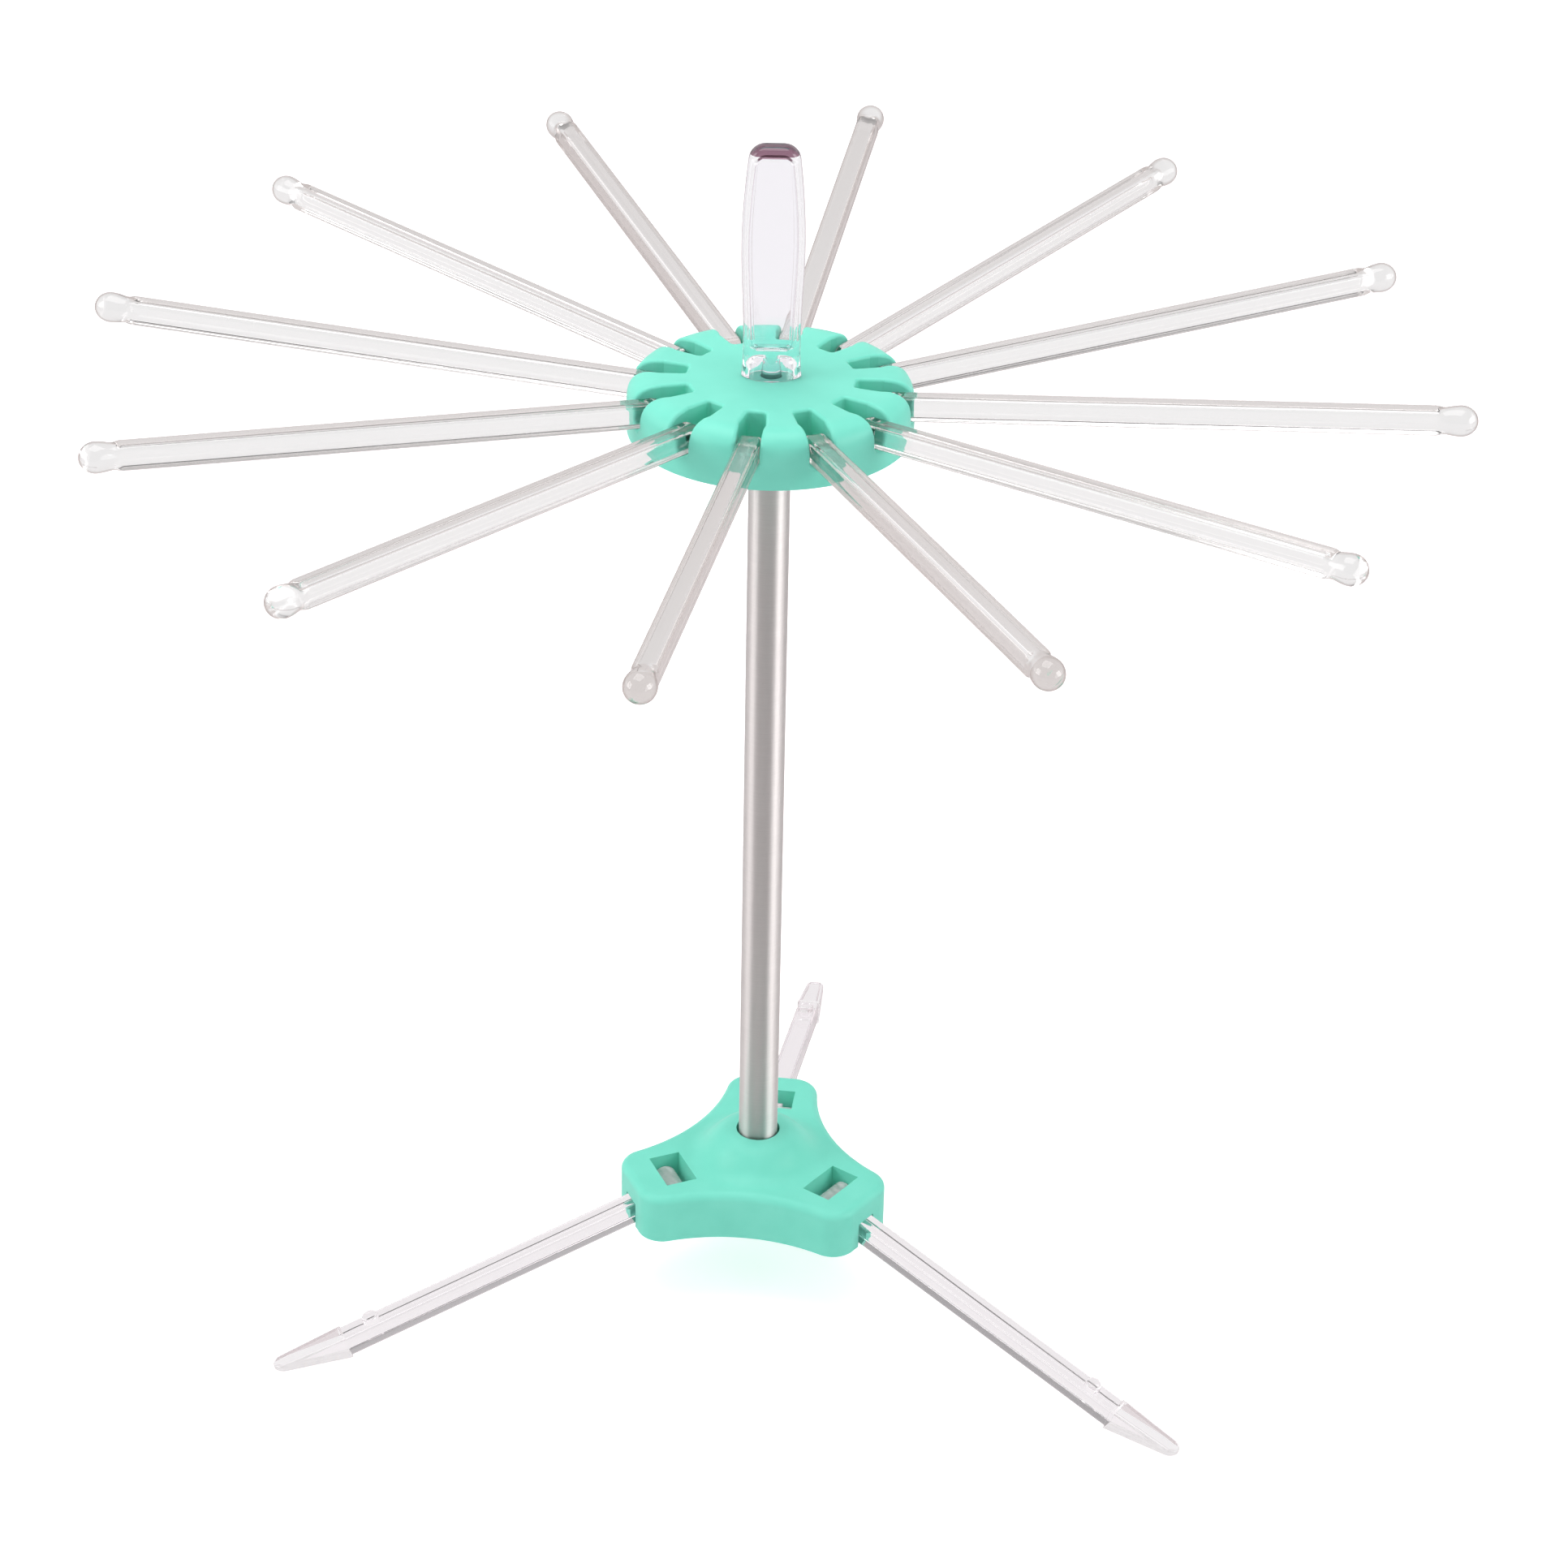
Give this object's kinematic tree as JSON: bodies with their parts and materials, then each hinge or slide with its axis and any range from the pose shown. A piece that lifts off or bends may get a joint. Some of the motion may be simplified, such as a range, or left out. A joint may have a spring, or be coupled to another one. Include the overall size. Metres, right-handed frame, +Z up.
{
  "type": "pasta drying rack",
  "caption": "Table-top pasta drying rack: hinged clear arms on a round mint head, steel column, fold-down clear legs and a lift-out wand with a flat grip.",
  "frame": {"origin": "on the floor under the column's axis", "axes": "+Z up along the column; one leg points along +Y; the grip's broad face looks along -Y, turned 6.7 degrees"},
  "size_m": [0.4588, 0.4588, 0.4372],
  "materials": {
    "mint_plastic": "smooth moulded mint green plastic with a soft gloss",
    "clear_arms": "clear moulded plastic, bright along its rounded edges",
    "clear_legs": "clear moulded plastic with a faint warm tint",
    "clear_grip": "clear moulded plastic, darker at the top edge",
    "column_steel": "fine lengthwise brushed stainless steel",
    "screw_steel": "plain zinc-plated steel",
    "inner_plastic": "dark matt moulded plastic"
  },
  "bodies": {
    "stand": {"base_body": "mint_plastic", "base_cover": "mint_plastic", "base_screw_1": "screw_steel", "base_screw_2": "screw_steel", "base_screw_3": "screw_steel", "tube": "column_steel", "tube_plug": "inner_plastic", "tube_bush": "inner_plastic", "column_washer": "screw_steel", "column_screw": "screw_steel", "head_cap": "mint_plastic", "head_carrier": "mint_plastic", "head_screw_1": "screw_steel", "head_screw_2": "screw_steel", "head_screw_3": "screw_steel"},
    "transfer_wand": {"transfer_wand": "clear_grip"},
    "arm_01": {"arm_01": "clear_arms"},
    "arm_02": {"arm_02": "clear_arms"},
    "arm_03": {"arm_03": "clear_arms"},
    "arm_04": {"arm_04": "clear_arms"},
    "arm_05": {"arm_05": "clear_arms"},
    "arm_06": {"arm_06": "clear_arms"},
    "arm_07": {"arm_07": "clear_arms"},
    "arm_08": {"arm_08": "clear_arms"},
    "arm_09": {"arm_09": "clear_arms"},
    "arm_10": {"arm_10": "clear_arms"},
    "arm_11": {"arm_11": "clear_arms"},
    "arm_12": {"arm_12": "clear_arms"},
    "leg_1": {"leg_1": "clear_legs"},
    "leg_2": {"leg_2": "clear_legs"},
    "leg_3": {"leg_3": "clear_legs"}
  },
  "joints": [
    {"name": "arm_01_fold", "type": "hinge", "parent": "stand", "child": "arm_01", "pos_m": [0.04097, -0.00147, 0.3495], "axis": [-0.0358, -0.9994, 0], "range_deg": [0, 90]},
    {"name": "arm_02_fold", "type": "hinge", "parent": "stand", "child": "arm_02", "pos_m": [0.03622, 0.01922, 0.3495], "axis": [0.4687, -0.8834, 0], "range_deg": [0, 90]},
    {"name": "arm_03_fold", "type": "hinge", "parent": "stand", "child": "arm_03", "pos_m": [0.02176, 0.03475, 0.3495], "axis": [0.8476, -0.5307, 0], "range_deg": [0, 90]},
    {"name": "arm_04_fold", "type": "hinge", "parent": "stand", "child": "arm_04", "pos_m": [0.00147, 0.04097, 0.3495], "axis": [0.9994, -0.0358, 0], "range_deg": [0, 90]},
    {"name": "arm_05_fold", "type": "hinge", "parent": "stand", "child": "arm_05", "pos_m": [-0.01922, 0.03622, 0.3495], "axis": [0.8834, 0.4687, 0], "range_deg": [0, 90]},
    {"name": "arm_06_fold", "type": "hinge", "parent": "stand", "child": "arm_06", "pos_m": [-0.03475, 0.02176, 0.3495], "axis": [0.5307, 0.8476, 0], "range_deg": [0, 90]},
    {"name": "arm_07_fold", "type": "hinge", "parent": "stand", "child": "arm_07", "pos_m": [-0.04097, 0.00147, 0.3495], "axis": [0.0358, 0.9994, 0], "range_deg": [0, 90]},
    {"name": "arm_08_fold", "type": "hinge", "parent": "stand", "child": "arm_08", "pos_m": [-0.03622, -0.01922, 0.3495], "axis": [-0.4687, 0.8834, 0], "range_deg": [0, 90]},
    {"name": "arm_09_fold", "type": "hinge", "parent": "stand", "child": "arm_09", "pos_m": [-0.02176, -0.03475, 0.3495], "axis": [-0.8476, 0.5307, 0], "range_deg": [0, 90]},
    {"name": "arm_10_fold", "type": "hinge", "parent": "stand", "child": "arm_10", "pos_m": [-0.00147, -0.04097, 0.3495], "axis": [-0.9994, 0.0358, 0], "range_deg": [0, 90]},
    {"name": "arm_11_fold", "type": "hinge", "parent": "stand", "child": "arm_11", "pos_m": [0.01922, -0.03622, 0.3495], "axis": [-0.8834, -0.4687, 0], "range_deg": [0, 90]},
    {"name": "arm_12_fold", "type": "hinge", "parent": "stand", "child": "arm_12", "pos_m": [0.03475, -0.02176, 0.3495], "axis": [-0.5307, -0.8476, 0], "range_deg": [0, 90]},
    {"name": "leg_1_fold", "type": "hinge", "parent": "stand", "child": "leg_1", "pos_m": [0, 0.0335, 0.0383], "axis": [-1, 0, 0], "range_deg": [0, 74.5]},
    {"name": "leg_2_fold", "type": "hinge", "parent": "stand", "child": "leg_2", "pos_m": [-0.02901, -0.01675, 0.0383], "axis": [0.5, -0.866, 0], "range_deg": [0, 74.5]},
    {"name": "leg_3_fold", "type": "hinge", "parent": "stand", "child": "leg_3", "pos_m": [0.02901, -0.01675, 0.0383], "axis": [0.5, 0.866, 0], "range_deg": [0, 74.5]},
    {"name": "wand_lift", "type": "slide", "parent": "stand", "child": "transfer_wand", "axis": [0, 0, 1], "range_m": [0, 0.28]}
  ]
}
